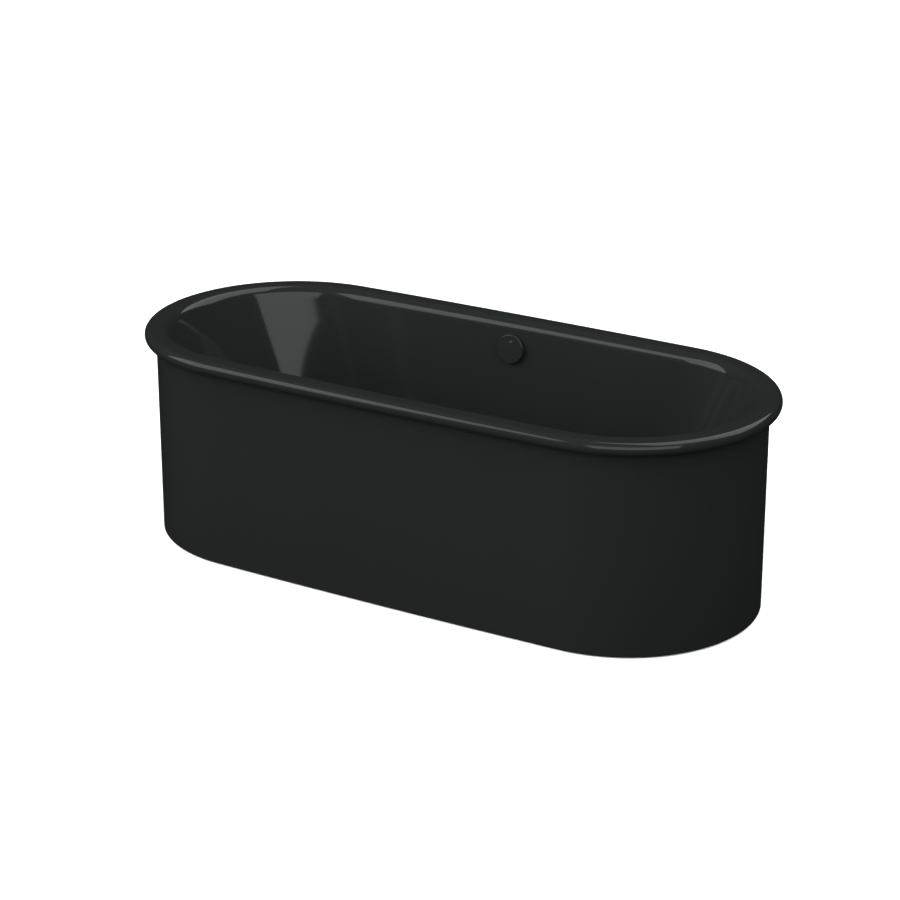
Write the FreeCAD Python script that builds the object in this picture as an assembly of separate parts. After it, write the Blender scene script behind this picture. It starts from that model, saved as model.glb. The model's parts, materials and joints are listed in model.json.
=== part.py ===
import FreeCAD, Part
import math
import os

from FreeCAD import Vector

# Freestanding oval bath in enamelled steel: one STEP file per piece, in millimetres.
# +Z is up, +X runs along the bath and the overflow is on the +Y side. The origin is on the floor, under the
# middle of the bath. Each section makes one group of pieces; the sizes that drive them are named first.

# ---------------------------------------------------------------- outline of the rim, seen from above
bath_length = 1700.0
bath_width = 750.0
bath_height = 545.0
side_bow = 5.5

# ---------------------------------------------------------------- steel bath
sheet = 3.0
rim_width = 72.0
bead_radius = 17.0
bead_return = 9.0
inner_edge_radius = 29.0
bath_depth = 430.0
side_lean = 42.0
end_lean = 175.0
floor_radius = 80.0
end_floor_reach = 130.0
dish_depth = 7.0
dish_flat_radius = 44.0
dish_top_radius = 56.0
waste_hole_radius = 26.0

# ---------------------------------------------------------------- skirt and its gasket
skirt_sheet = 2.0
skirt_inset = 29.0
skirt_flange = 30.0
skirt_bend = 4.0
floor_gap = 3.0
flange_stud_setback = 4.5
gasket_height = 4.0
gasket_width = 10.0

# ---------------------------------------------------------------- cross rails, feet and brackets
rail_x = 360.0
rail_width = 40.0
rail_height = 25.0
rail_wall = 2.5
rail_end_gap = 19.0
pad_height = 5.0
pad_length = 70.0
pad_y = 95.0
foot_inset = 125.0
stud_radius = 6.0
stud_above_nut = 8.0
stud_chamfer = 1.2
foot_base_radius = 30.0
foot_base_height = 6.0
foot_base_edge = 1.5
foot_shoulder = 4.0
foot_shoulder_rise = 2.0
foot_neck_radius = 13.0
foot_neck_taper = 1.0
foot_height = 20.0
foot_socket_floor = 9.0
nut_across_flats = 19.0
nut_height = 9.0
thread_clearance = 0.06
hole_clearance = 0.5
bracket_sheet = 3.0
bracket_width = 50.0
bracket_leg = 34.0
bracket_gap = 0.5
bracket_bolt_inset = 16.0
bracket_bolt_radius = 4.0
bolt_head_flats = 13.0
bolt_head_height = 5.3
flange_stud_radius = 3.0
flange_nut_flats = 10.0
small_nut_height = 5.0
thread_past_nut = 4.0

# ---------------------------------------------------------------- damping mats and earth lug
mat_thickness = 3.0
mat_gap = 0.3
floor_mat_size = (230.0, 260.0)
floor_mat_x = 210.0
end_mat_width = 300.0
end_mat_low = 235.0
end_mat_high = 430.0
lug_size = (26.0, 30.0)
lug_sheet = 3.0
lug_place = (150.0, -150.0)
lug_hole_radius = 3.25

# ---------------------------------------------------------------- overflow, on the +Y wall
overflow_drop = 72.0
overflow_hole_radius = 26.0
land_radius = 34.0
land_proud = 0.9
overflow_gasket_height = 3.0
clamp_radius = 31.0
clamp_thickness = 3.0
clamp_bore = 20.0
clamp_neck_wall = 3.0
clamp_neck_past_flange = 4.0
neck_fit = 0.1
housing_depth = 25.0
housing_wall = 2.5
housing_flange = 3.0
outlet_radius = 12.5
outlet_wall = 2.0
outlet_length = 34.0
outlet_root = 4.0
drain_rise = 6.0
spindle_radius = 4.0
spindle_end_gap = 0.5
bearing_radius = 8.0
bearing_length = 6.0
bearing_floor = 1.5
running_clearance = 0.05
knob_radius = 38.0
knob_front = 13.0
knob_crown = 1.6
knob_back = 4.0
knob_wall = 3.0
knob_edge = 3.0
knob_hub_radius = 9.0
dimple_offset = 26.0
dimple_length = 21.0
dimple_depth = 1.2
dimple_narrowing = 0.62
knob_turn = 90.0

# ---------------------------------------------------------------- pinion, rack and cable
gear_module = 1.0
pinion_teeth = 16
pinion_thickness = 6.0
gear_clearance = 0.25
backlash = 0.2
pressure_angle = 20.0
rack_thickness = 6.0
rack_back = 5.0
rack_first_space = -2
rack_last_space = 6
rack_arm_rise = 10.0
rack_arm_height = 6.0
rack_arm_thickness = 5.0
rack_arm_past_cable = 3.0
cable_x = -22.0
cable_rod_radius = 1.0
cable_boss_wall = 2.0
cable_boss_root = 1.0
cable_boss_length = 14.0
cable_hole_rise = 8.0
sheath_radius = 3.0
sheath_bore = 1.3
sheath_seat_drop = 6.0
wire_in_top_sheath = 10.0
wire_in_low_sheath = 18.0

# ---------------------------------------------------------------- waste, plug and lever
flange_radius = 36.0
flange_thickness = 2.5
flange_edge = 0.6
flange_slope = 2.2
flange_lip = 1.0
flange_seal = 1.0
flange_seal_inset = 1.0
neck_wall = 3.5
neck_length = 20.0
neck_gap = 0.2
spider_drop = 13.0
spider_height = 4.0
spider_bar = 4.0
spider_bars = 3
spider_boss_wall = 2.5
stem_clearance = 0.15
waste_gasket_height = 3.0
body_flange_radius = 38.0
body_flange_height = 4.0
body_radius = 34.0
body_wall = 3.0
body_floor_height = 58.0
body_floor = 4.0
outlet_neck_radius = 21.0
outlet_neck_wall = 3.0
outlet_neck_tip = 20.0
inlet_height = 78.0
inlet_length = 62.0
plug_radius = 31.0
plug_edge = 2.5
plug_crown = 3.5
plug_round = 1.8
plug_rim = 3.0
plug_hub = 6.0
plug_recess = 1.2
plug_gap = 0.6
stem_radius = 3.0
plug_seal_height = 3.0
plug_seal_clearance = 0.3
plug_seal_foot = 2.0
plug_seal_foot_rise = 1.0
plug_seal_shoulder = 4.0
plug_seal_shoulder_drop = 1.2
lever_arm = 15.0
lever_thickness = 5.0
lever_tip_radius = 2.5
lever_hub_radius = 5.0
lever_pin_radius = 2.5
lever_pin_setback = 1.0
pivot_height = 84.0
contact_gap = 0.3
pusher_radius = 2.0
pusher_end_gap = 0.5
guide_radius = 6.0
guide_end = 48.0
sheath_in_guide = 6.0

# ---------------------------------------------------------------- trap and its outlet
trap_radius = 52.0
trap_bottom = 4.0
trap_top = 46.0
trap_wall = 3.0
trap_round = 5.0
collar_clearance = 0.3
collar_wall = 4.0
collar_height = 6.0
trap_seal_height = 2.0
union_nut_wall = 6.0
union_nut_clearance = 0.2
union_nut_lip_clearance = 0.1
union_nut_lift = 0.5
union_nut_top_gap = 0.3
union_nut_ribs = 12
union_nut_rib_radius = 1.6
spigot_radius = 20.0
spigot_wall = 2.5
spigot_root = 8.0
spigot_end = 172.0
spigot_stop = 116.0
spigot_stop_width = 5.0
spigot_stop_rise = 3.0

# ---------------------------------------------------------------- hose and cable sheath
hose_fit = 0.1
hose_wall = 2.4
hose_bend = 75.0
hose_overlap = 22.0
clip_wall = 3.0
clip_length = 14.0
clip_setback = 2.0
clip_fit = 0.1
sheath_corners = ((-104.0, 165.0), (-112.0, 0.0))
sheath_bends = (80.0, 90.0, 42.0)

# ---------------------------------------------------------------- for joining and cutting
bite = 0.5
past = 1.0

# ---------------------------------------------------------------- derived heights and places
half_length = bath_length / 2
half_width = bath_width / 2
edge_end_height = bath_height - inner_edge_radius
well_floor = bath_height - bath_depth
under_floor = well_floor - sheet
dish_floor = well_floor - dish_depth
under_dish = dish_floor - sheet
rim_underside = bath_height - sheet
rail_top = under_floor - pad_height
rail_bottom = rail_top - rail_height
foot_y = half_width - foot_inset
stud_length = rail_top + nut_height + stud_above_nut - foot_socket_floor
skirt_top = rim_underside - gasket_height
skirt_inner_inset = skirt_inset + skirt_sheet
tooth_travel = gear_module * pinion_teeth / 2 * math.radians(knob_turn)
swing_in_radians = math.asin(tooth_travel / 2 / lever_arm)
lever_swing = math.degrees(swing_in_radians)
up = Vector(0, 0, 1)
nearly = 0.1


# ---------------------------------------------------------------- helpers
def oval_arcs(long_half, wide_half):
    """The outline's four arcs, anticlockwise: (centre x, centre y, radius, first angle, last angle).

    Taking the same amount off both half sizes gives an exact offset of the outline.
    """
    end = wide_half - side_bow
    end_x = long_half - end
    side = (end_x**2 + wide_half**2 - end**2) / (2 * side_bow)
    side_y = wide_half - side
    meet = math.degrees(math.atan2(-side_y, end_x))
    return [
        (end_x, 0, end, -meet, meet),
        (0, side_y, side, meet, 180 - meet),
        (-end_x, 0, end, 180 - meet, 180 + meet),
        (0, -side_y, side, 180 + meet, 360 - meet),
    ]


def oval_wire(long_half, wide_half, height):
    """A closed outline at one height."""
    arcs = oval_arcs(long_half, wide_half)
    return Part.Wire([Part.makeCircle(r, Vector(x, y, height), up, a, b) for x, y, r, a, b in arcs])


def round_the_rim(profile, make):
    """Draws a section on each arc of the outline with at(inset, height) and turns it along that arc."""
    parts = []
    for x, y, radius, first, last in oval_arcs(half_length, half_width):
        out = Vector(math.cos(math.radians(first)), math.sin(math.radians(first)), 0)
        centre = Vector(x, y, 0)

        def at(inset, height):
            return centre + out * (radius - inset) + up * height

        parts.append(make(profile(at)).revolve(centre, up, last - first))
    return parts


def ring(profile):
    """A solid band with a closed cross-section, all round the outline."""
    parts = round_the_rim(profile, Part.Face)
    return parts[0].multiFuse(parts[1:]).removeSplitter()


def polygon(points):
    return Part.Wire(Part.makePolygon([*points, points[0]]).Edges)


def line(a, b):
    return Part.LineSegment(a, b).toShape()


def arc(a, middle, b):
    return Part.Arc(a, middle, b).toShape()


def upright(radius, low, high):
    """A round bar about the Z axis."""
    return Part.makeCylinder(radius, high - low, Vector(0, 0, low))


def tube(outer, inner, low, high):
    """A ring about the Z axis."""
    return upright(outer, low, high).cut(upright(inner, low - past, high + past))


def box(x, y, z):
    """A block from its three (low, high) pairs."""
    return Part.makeBox(x[1] - x[0], y[1] - y[0], z[1] - z[0], Vector(x[0], y[0], z[0]))


def rod(radius, start, end):
    """A round bar between two points."""
    return Part.makeCylinder(radius, (end - start).Length, start, end - start)


def turned(points):
    """A solid turned about the Z axis from (radius, height) points."""
    return Part.Face(polygon([Vector(r, 0, z) for r, z in points])).revolve(Vector(), up, 360)


def hex_prism(across_flats, low, high):
    sides = 6
    corner = across_flats / math.sqrt(3)
    angles = [2 * math.pi * k / sides for k in range(sides)]
    points = [Vector(corner * math.cos(angle), corner * math.sin(angle), low) for angle in angles]
    return Part.Face(polygon(points)).extrude(Vector(0, 0, high - low))


def hex_nut(across_flats, bore, low, high):
    return hex_prism(across_flats, low, high).cut(upright(bore, low - past, high + past))


def flat_edges(shape, height=None):
    """The edges that lie flat, at any height or near one."""
    flat = [edge for edge in shape.Edges if edge.BoundBox.ZLength < nearly]
    return [edge for edge in flat if height is None or abs(edge.BoundBox.ZMax - height) < nearly]


def at_place(shape, x, y):
    moved = shape.copy()
    moved.translate(Vector(x, y, 0))
    return moved


def route(points, radii):
    """A path of straight runs joined by tangent arcs, one radius for each inner point."""
    edges, start = [], points[0]
    for before, corner, after, radius in zip(points, points[1:], points[2:], radii):
        back, ahead = (before - corner).normalize(), (after - corner).normalize()
        half = back.getAngle(ahead) / 2
        reach = radius / math.tan(half)
        middle = (back + ahead).normalize()
        first, last = corner + back * reach, corner + ahead * reach
        edges.append(line(start, first))
        edges.append(arc(first, corner + middle * (radius / math.sin(half) - radius), last))
        start = last
    edges.append(line(start, points[-1]))
    return Part.Wire(edges)


def swept(path, radius):
    start = path.Edges[0].Vertexes[0].Point
    heading = path.Edges[0].tangentAt(path.Edges[0].FirstParameter)
    section = Part.Wire(Part.makeCircle(radius, start, heading))
    return path.makePipeShell([section], True, False)


# ---------------------------------------------------------------- steel bath
def wall_inset(height, lean, skin):
    """How far the wall is in from the outline at a height, skin outside the water side.

    It goes round the rim's inner edge and then straight down at its lean.
    """
    slope = math.atan(lean / (edge_end_height - well_floor))
    radius = inner_edge_radius - skin
    above = height - edge_end_height
    meets = radius * math.sin(slope)
    if above > meets:
        across = math.sqrt(max(0.0, radius**2 - above**2))
    else:
        across = radius * math.cos(slope) + (meets - above) * math.tan(slope)
    return rim_width - inner_edge_radius + across


def well_half_sizes(height, skin):
    """Half length and half width of the well's wall at a height, skin outside the water side."""
    low = well_floor - skin
    knee = max(0.0, min(1.0, (low + floor_radius + skin - height) / (floor_radius + skin)))
    curl = 1 - math.sqrt(1 - knee**2)
    long_half = half_length - wall_inset(height, end_lean, skin) - (end_floor_reach + skin) * curl
    wide_half = half_width - wall_inset(height, side_lean, skin) - (floor_radius + skin) * curl
    return long_half, wide_half


def wall_sections(skin):
    """Outlines down the wall, from the rim's inner edge to the floor, grown outwards by skin."""
    low = well_floor - skin
    knee_height = low + floor_radius + skin
    wall_steps = 9
    curl_steps = 6
    heights = []
    for k in range(wall_steps):
        heights.append(edge_end_height + (knee_height - edge_end_height) * k / wall_steps)
    for k in range(curl_steps + 1):
        heights.append(knee_height - (floor_radius + skin) * math.sin(math.pi / 2 * k / curl_steps))
    return [oval_wire(*well_half_sizes(height, skin), height) for height in heights]


def edge_sections(skin):
    """Outlines down the rim's rounded inner edge, from its flat top to the wall."""
    radius = inner_edge_radius - skin
    steps = 8
    heights = [edge_end_height + radius * math.cos(math.pi / 2 * k / steps) for k in range(steps)]
    return [oval_wire(*well_half_sizes(height, skin), height) for height in [*heights, edge_end_height]]


def well(skin):
    """The space inside the wall, grown by skin, from its floor to the end of the rim's inner edge."""
    return Part.makeLoft(wall_sections(skin), True, False)


def bead_profile(at):
    """The rim's outer edge: over from the flat top, under, a short return, and back along the inside."""
    top, middle, low = bath_height, bath_height - bead_radius, bath_height - 2 * bead_radius
    tip = bead_radius + bead_return
    return Part.Wire(
        [
            arc(at(bead_radius, top), at(0, middle), at(bead_radius, low)),
            line(at(bead_radius, low), at(tip, low)),
            line(at(tip, low), at(tip, low + sheet)),
            line(at(tip, low + sheet), at(bead_radius, low + sheet)),
            arc(at(bead_radius, low + sheet), at(sheet, middle), at(bead_radius, top - sheet)),
        ]
    )


def boundary(faces, height):
    """The closed edge that lies flat at a height."""
    edges = [edge for face in faces for edge in flat_edges(face, height)]
    return Part.Wire(Part.sortEdges(edges)[0])


def overflow_frame():
    """Where the overflow sits: its origin is on the land's front and its Z axis points into the bath."""
    height = bath_height - overflow_drop
    step = 1.0
    above = well_half_sizes(height + step, 0)[1]
    below = well_half_sizes(height - step, 0)[1]
    tilt = math.degrees(math.atan((above - below) / (2 * step)))
    turn = FreeCAD.Rotation(Vector(1, 0, 0), 90 - tilt)
    wall = Vector(0, well_half_sizes(height, 0)[1], height)
    return FreeCAD.Placement(wall + turn.multVec(up) * land_proud, turn)


def placed(shape, place):
    moved = shape.copy()
    moved.Placement = place.multiply(moved.Placement)
    return moved


overflow = overflow_frame()
land_thickness = sheet + 2 * land_proud


def dish(top, bottom, skin):
    """The shallow cone of the dish round the waste, grown by skin and run a little past its top."""
    wide, narrow = dish_top_radius + skin, dish_flat_radius + skin
    return turned([(0, top + past), (wide, top + past), (wide, top), (narrow, bottom), (0, bottom)])


def bath_shell():
    """Both skins of the sheet are sewn to the bead, then the shell is dished, thickened and pierced."""
    faces = [face for part in round_the_rim(bead_profile, Part.Wire) for face in part.Faces]
    for skin, top in ((0.0, bath_height), (sheet, rim_underside)):
        edge = Part.makeLoft(edge_sections(skin), False, False).Faces
        wall = Part.makeLoft(wall_sections(skin), False, False).Faces
        outer = oval_wire(half_length - bead_radius, half_width - bead_radius, top)
        flat = Part.makeFace([outer, boundary(edge, top)], "Part::FaceMakerBullseye").Faces
        faces += [*edge, *wall, *flat, Part.Face(boundary(wall, well_floor - skin))]
    sewn = Part.makeShell(faces)
    sewn.sewShape()
    shell = Part.makeSolid(sewn)
    shell = shell.fuse(dish(under_floor, under_dish, sheet)).cut(dish(well_floor, dish_floor, 0))
    land = placed(upright(land_radius, -land_thickness, 0), overflow)
    waste_hole = upright(waste_hole_radius, under_dish - past, well_floor)
    overflow_hole = placed(upright(overflow_hole_radius, -land_thickness - past, past), overflow)
    return shell.fuse(land).cut([waste_hole, overflow_hole])


# ---------------------------------------------------------------- skirt
def skirt_profile(at):
    """An upright sheet with its foot bent inwards."""
    outer, inner = skirt_inset, skirt_inset + skirt_sheet
    low, high = floor_gap, floor_gap + skirt_sheet
    inside_bend = skirt_bend - skirt_sheet
    slant = 1 - math.sqrt(0.5)
    tip = skirt_inset + skirt_flange
    return Part.Wire(
        [
            line(at(outer, skirt_top), at(outer, low + skirt_bend)),
            arc(
                at(outer, low + skirt_bend),
                at(outer + skirt_bend * slant, low + skirt_bend * slant),
                at(outer + skirt_bend, low),
            ),
            line(at(outer + skirt_bend, low), at(tip, low)),
            line(at(tip, low), at(tip, high)),
            line(at(tip, high), at(inner + inside_bend, high)),
            arc(
                at(inner + inside_bend, high),
                at(inner + inside_bend * slant, high + inside_bend * slant),
                at(inner, high + inside_bend),
            ),
            line(at(inner, high + inside_bend), at(inner, skirt_top)),
            line(at(inner, skirt_top), at(outer, skirt_top)),
        ]
    )


def skirt_side_y(x):
    """The skirt's inner face at a place along its long side."""
    _, centre_y, radius, _, _ = oval_arcs(half_length - skirt_inner_inset, half_width - skirt_inner_inset)[1]
    return centre_y + math.sqrt(radius**2 - x**2)


flange_stud_y = skirt_side_y(rail_x) - skirt_bend - flange_stud_setback


def skirt():
    body = ring(skirt_profile)
    for sx in (-1, 1):
        for sy in (-1, 1):
            hole = upright(flange_stud_radius, floor_gap - past, floor_gap + skirt_sheet + past)
            body = body.cut(at_place(hole, sx * rail_x, sy * flange_stud_y))
    return body


def rim_gasket():
    middle = skirt_inset + skirt_sheet / 2
    low, high = skirt_top, rim_underside

    def profile(at):
        inner, outer = middle + gasket_width / 2, middle - gasket_width / 2
        return polygon([at(outer, low), at(inner, low), at(inner, high), at(outer, high)])

    return ring(profile)


# ---------------------------------------------------------------- rails, feet and brackets
rail_half = skirt_side_y(rail_x) - rail_end_gap
bracket_bolt_y = rail_half - bracket_bolt_inset


def cross_rail():
    """A channel open below, with holes for the studs and the bracket bolts."""
    half = rail_width / 2
    inside = half - rail_wall
    web_low = rail_top - rail_wall
    body = box((-half, half), (-rail_half, rail_half), (rail_bottom, rail_top))
    full_run = (-rail_half - past, rail_half + past)
    body = body.cut(box((-inside, inside), full_run, (rail_bottom - past, web_low)))
    for side in (-1, 1):
        for radius, y in ((stud_radius + hole_clearance, foot_y), (bracket_bolt_radius, bracket_bolt_y)):
            body = body.cut(at_place(upright(radius, web_low - past, rail_top + past), 0, side * y))
    return body


def rail_pad():
    return box((-rail_width / 2, rail_width / 2), (-pad_length / 2, pad_length / 2), (rail_top, under_floor))


def foot_stud():
    body = upright(stud_radius, foot_socket_floor, foot_socket_floor + stud_length)
    return body.makeChamfer(stud_chamfer, [body.Edges[0], body.Edges[2]])


def foot_pad():
    """A broad foot with a raised neck and a blind socket for the stud."""
    shoulder_height = foot_base_height + foot_shoulder_rise
    points = [(0, 0), (foot_base_radius - foot_base_edge, 0), (foot_base_radius, foot_base_edge)]
    points += [(foot_base_radius, foot_base_height), (foot_base_radius - foot_shoulder, shoulder_height)]
    points += [(foot_neck_radius + foot_neck_taper, foot_height - foot_shoulder)]
    points += [(foot_neck_radius, foot_height), (0, foot_height)]
    return turned(points).cut(upright(stud_radius, foot_socket_floor, foot_height + past))


def stud_nut(low):
    return hex_nut(nut_across_flats, stud_radius + thread_clearance, low, low + nut_height)


def skirt_bracket(side):
    """A Z-shaped strip: its leg on the rail, its web past the rail's end, its foot on the skirt's flange."""
    half = bracket_width / 2
    inner = rail_half + bracket_gap
    outer = inner + bracket_sheet
    foot_low = floor_gap + skirt_sheet
    foot_top = foot_low + bracket_sheet
    leg_top = rail_top + bracket_sheet
    foot_tip = flange_stud_y + 2 * flange_stud_radius
    leg = box((-rail_width / 2, rail_width / 2), (inner - bracket_leg, inner), (rail_top, leg_top))
    web = box((-half, half), (inner, outer), (foot_low, leg_top))
    foot = box((-half, half), (inner, foot_tip), (foot_low, foot_top))
    body = leg.fuse([web, foot]).removeSplitter()
    bolt_hole = at_place(upright(bracket_bolt_radius, rail_top - past, leg_top + past), 0, bracket_bolt_y)
    stud_hole = at_place(upright(flange_stud_radius, foot_low - past, foot_top + past), 0, flange_stud_y)
    body = body.cut([bolt_hole, stud_hole])
    if side < 0:
        body.rotate(Vector(), up, 180)
    return body


def bracket_bolt():
    """Head on the bracket, shank through the rail's web and a nut below it, as one tightened fastener."""
    web_low = rail_top - rail_wall
    head_low = rail_top + bracket_sheet
    shank = upright(bracket_bolt_radius, web_low - small_nut_height - thread_past_nut, head_low)
    head = hex_prism(bolt_head_flats, head_low, head_low + bolt_head_height)
    nut = hex_prism(bolt_head_flats, web_low - small_nut_height, web_low)
    return head.fuse([shank, nut])


def flange_fastener():
    """A stud welded in the skirt's flange, with its nut on the bracket's foot."""
    seat = floor_gap + skirt_sheet + bracket_sheet
    nut_top = seat + small_nut_height
    stud = upright(flange_stud_radius, floor_gap, nut_top + thread_past_nut)
    return stud.fuse(hex_prism(flange_nut_flats, seat, nut_top))


# ---------------------------------------------------------------- damping mats and earth lug
def floor_mat(side):
    length, width = floor_mat_size
    middle = side * floor_mat_x
    return box(
        (middle - length / 2, middle + length / 2),
        (-width / 2, width / 2),
        (under_floor - mat_thickness, under_floor),
    )


def end_mat(side):
    layer = well(sheet + mat_gap + mat_thickness).cut(well(sheet + mat_gap))
    half = end_mat_width / 2
    reach = sorted((0, side * half_length))
    return layer.common(box(reach, (-half, half), (end_mat_low, end_mat_high)))


lug_hole_height = under_floor - lug_size[1] + lug_size[0] / 2


def earth_lug():
    x, y = lug_place
    half = lug_size[0] / 2
    plate = box((x, x + lug_sheet), (y - half, y + half), (lug_hole_height, under_floor))
    plate = plate.fuse(rod(half, Vector(x, y, lug_hole_height), Vector(x + lug_sheet, y, lug_hole_height)))
    hole_start = Vector(x - past, y, lug_hole_height)
    return plate.cut(rod(lug_hole_radius, hole_start, Vector(x + lug_sheet + past, y, lug_hole_height)))


# ---------------------------------------------------------------- overflow
gasket_back = -land_thickness - overflow_gasket_height
housing_front = gasket_back - housing_flange
housing_back = housing_front - housing_depth
gear_middle = housing_front - housing_depth / 2
neck_outer = overflow_hole_radius - hole_clearance
cavity_radius = land_radius - housing_wall


def world_y(local_z, height):
    """The Y of a point behind the overflow at a height, on the plane that lies local_z from its origin."""
    inward = overflow.Rotation.multVec(up)
    return overflow.Base.y + (local_z - (height - overflow.Base.z) * inward.z) / inward.y


cable_down = overflow.Rotation.multVec(Vector(0, -1, 0))
cavity_edge_y = -math.sqrt(cavity_radius**2 - cable_x**2)
cable_exit = overflow.multVec(Vector(cable_x, cavity_edge_y + cable_boss_root, gear_middle))
cable_start = cable_exit + cable_down * sheath_seat_drop
outlet_top = bath_height - overflow_drop - cavity_radius + outlet_root
outlet_low = outlet_top - outlet_length
outlet_y = world_y(gear_middle, outlet_top)


def overflow_gasket():
    bore = overflow_hole_radius + hole_clearance
    return placed(tube(land_radius, bore, gasket_back, -land_thickness), overflow)


def clamp_ring():
    """The front ring that draws the housing against the wall; its neck reaches through the hole."""
    face = tube(clamp_radius, clamp_bore, 0, clamp_thickness)
    neck_back = housing_front - clamp_neck_past_flange
    neck = tube(neck_outer, neck_outer - clamp_neck_wall, neck_back, clamp_thickness)
    return placed(face.fuse(neck), overflow)


def overflow_housing():
    """A shallow round box with a bearing for the spindle, a drain outlet below and a boss for the cable."""
    shaft_radius = spindle_radius + running_clearance
    socket_front = housing_back + bearing_length
    flange = tube(land_radius, neck_outer + neck_fit, housing_front, gasket_back)
    wall = tube(land_radius, cavity_radius, housing_back, housing_front)
    back = upright(land_radius, housing_back, housing_back + housing_wall)
    socket = upright(bearing_radius, housing_back, socket_front)
    body = placed(flange.fuse([wall, back, socket]), overflow)
    cavity = placed(upright(cavity_radius, housing_back + housing_wall, housing_front), overflow)
    spout = rod(outlet_radius, Vector(0, outlet_y, outlet_low), Vector(0, outlet_y, outlet_top)).cut(cavity)
    boss_end = cable_exit + cable_down * cable_boss_length
    boss = rod(sheath_radius + cable_boss_wall, boss_end, cable_exit).cut(cavity)
    shaft = placed(upright(shaft_radius, housing_back + bearing_floor, socket_front + past), overflow)
    drain_start = Vector(0, outlet_y, outlet_low - past)
    drain = rod(outlet_radius - outlet_wall, drain_start, Vector(0, outlet_y, outlet_top + drain_rise))
    hole_start = boss_end + cable_down * past
    cable_hole = rod(sheath_bore, hole_start, cable_exit - cable_down * cable_hole_rise)
    sheath_seat = rod(sheath_radius, hole_start, cable_start)
    return body.fuse([spout, boss]).cut([shaft, drain, cable_hole, sheath_seat])


def spindle():
    low = housing_back + bearing_floor + spindle_end_gap
    return placed(upright(spindle_radius, low, knob_front - knob_wall), overflow)


def knob():
    """A round cap with a crowned face, a rounded edge and a hub; a shallow oval dimple marks its top."""
    crown_radius = (knob_radius**2 + knob_crown**2) / (2 * knob_crown)
    edge_height = knob_front - knob_crown
    outer = upright(knob_radius, knob_back, knob_front)
    outer = outer.common(Part.makeSphere(crown_radius, Vector(0, 0, knob_front - crown_radius)))
    outer = outer.makeFillet(knob_edge, flat_edges(outer, edge_height))
    hollow = tube(knob_radius - knob_wall, knob_hub_radius, knob_back - past, edge_height - knob_wall)
    bore = upright(spindle_radius, knob_back - past, knob_front - knob_wall)
    ball_radius = (dimple_length**2 / 4 + dimple_depth**2) / (2 * dimple_depth)
    dent = Part.makeSphere(ball_radius, Vector(0, 0, ball_radius - dimple_depth))
    squeeze = FreeCAD.Matrix()
    squeeze.scale(1, dimple_narrowing, 1)
    dent = dent.transformGeometry(squeeze)
    dent.translate(Vector(0, dimple_offset, crown_height(dimple_offset, crown_radius)))
    return placed(outer.cut([hollow, bore]).cut(dent), overflow)


def crown_height(offset, crown_radius):
    return knob_front - crown_radius + math.sqrt(crown_radius**2 - offset**2)


# ---------------------------------------------------------------- pinion and rack
def involute_flank(base_radius, from_radius, to_radius, steps):
    """Points of an involute as (radius, polar angle)."""
    points = []
    for k in range(steps + 1):
        radius = from_radius + (to_radius - from_radius) * k / steps
        roll = math.sqrt(max(0.0, (radius / base_radius) ** 2 - 1))
        points.append((radius, roll - math.atan(roll)))
    return points


def pinion():
    """Spur teeth; a tooth points along -X at rest, towards the rack."""
    pitch = gear_module * pinion_teeth / 2
    tip = pitch + gear_module
    root = pitch - gear_module - gear_clearance
    base = pitch * math.cos(math.radians(pressure_angle))
    at_pitch = math.tan(math.radians(pressure_angle)) - math.radians(pressure_angle)
    half_tooth = (math.pi * gear_module / 2 - backlash) / 2 / pitch
    flank_steps = 5
    flank = involute_flank(base, max(base, root), tip, flank_steps)
    points = []
    for k in range(pinion_teeth):
        middle = math.pi + 2 * math.pi * k / pinion_teeth
        rising = [(r, middle - half_tooth - at_pitch + a) for r, a in flank]
        falling = [(r, middle + half_tooth + at_pitch - a) for r, a in reversed(flank)]
        tooth = [(root, rising[0][1]), *rising, *falling, (root, falling[-1][1])]
        points += [Vector(r * math.cos(a), r * math.sin(a), 0) for r, a in tooth]
    low = gear_middle - pinion_thickness / 2
    body = Part.Face(polygon(points)).extrude(Vector(0, 0, pinion_thickness))
    body.translate(Vector(0, 0, low))
    bore = upright(spindle_radius, low - past, low + pinion_thickness + past)
    return placed(body.cut(bore), overflow)


def cable_rack():
    """A toothed slide beside the pinion, an arm, and the wire that runs down into the sheath."""
    pitch_x = -gear_module * pinion_teeth / 2
    tooth_pitch = math.pi * gear_module
    slope = math.tan(math.radians(pressure_angle))
    tip_x, root_x = pitch_x + gear_module, pitch_x - gear_module - gear_clearance
    half_space = (tooth_pitch / 2 + backlash) / 2
    back_x = root_x - rack_back
    deep = half_space - (pitch_x - root_x) * slope
    wide = half_space + (tip_x - pitch_x) * slope
    low_y, high_y = (rack_first_space - 0.5) * tooth_pitch, (rack_last_space + 0.5) * tooth_pitch
    points = [Vector(back_x, low_y, 0), Vector(tip_x, low_y, 0)]
    for k in range(rack_first_space, rack_last_space + 1):
        middle = k * tooth_pitch
        points += [Vector(tip_x, middle - wide, 0), Vector(root_x, middle - deep, 0)]
        points += [Vector(root_x, middle + deep, 0), Vector(tip_x, middle + wide, 0)]
    points += [Vector(tip_x, high_y, 0), Vector(back_x, high_y, 0)]
    low = gear_middle - rack_thickness / 2
    body = Part.Face(polygon(points)).extrude(Vector(0, 0, rack_thickness))
    body.translate(Vector(0, 0, low))
    arm_low = low_y + rack_arm_rise
    half_arm = rack_arm_thickness / 2
    arm_x = (cable_x - rack_arm_past_cable, back_x + bite)
    arm = box(arm_x, (arm_low, arm_low + rack_arm_height), (gear_middle - half_arm, gear_middle + half_arm))
    wire_end = cable_start + cable_down * (sheath_seat_drop + wire_in_top_sheath)
    wire = rod(cable_rod_radius, wire_end, overflow.multVec(Vector(cable_x, arm_low + bite, gear_middle)))
    return placed(body.fuse(arm), overflow).fuse(wire)


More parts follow.
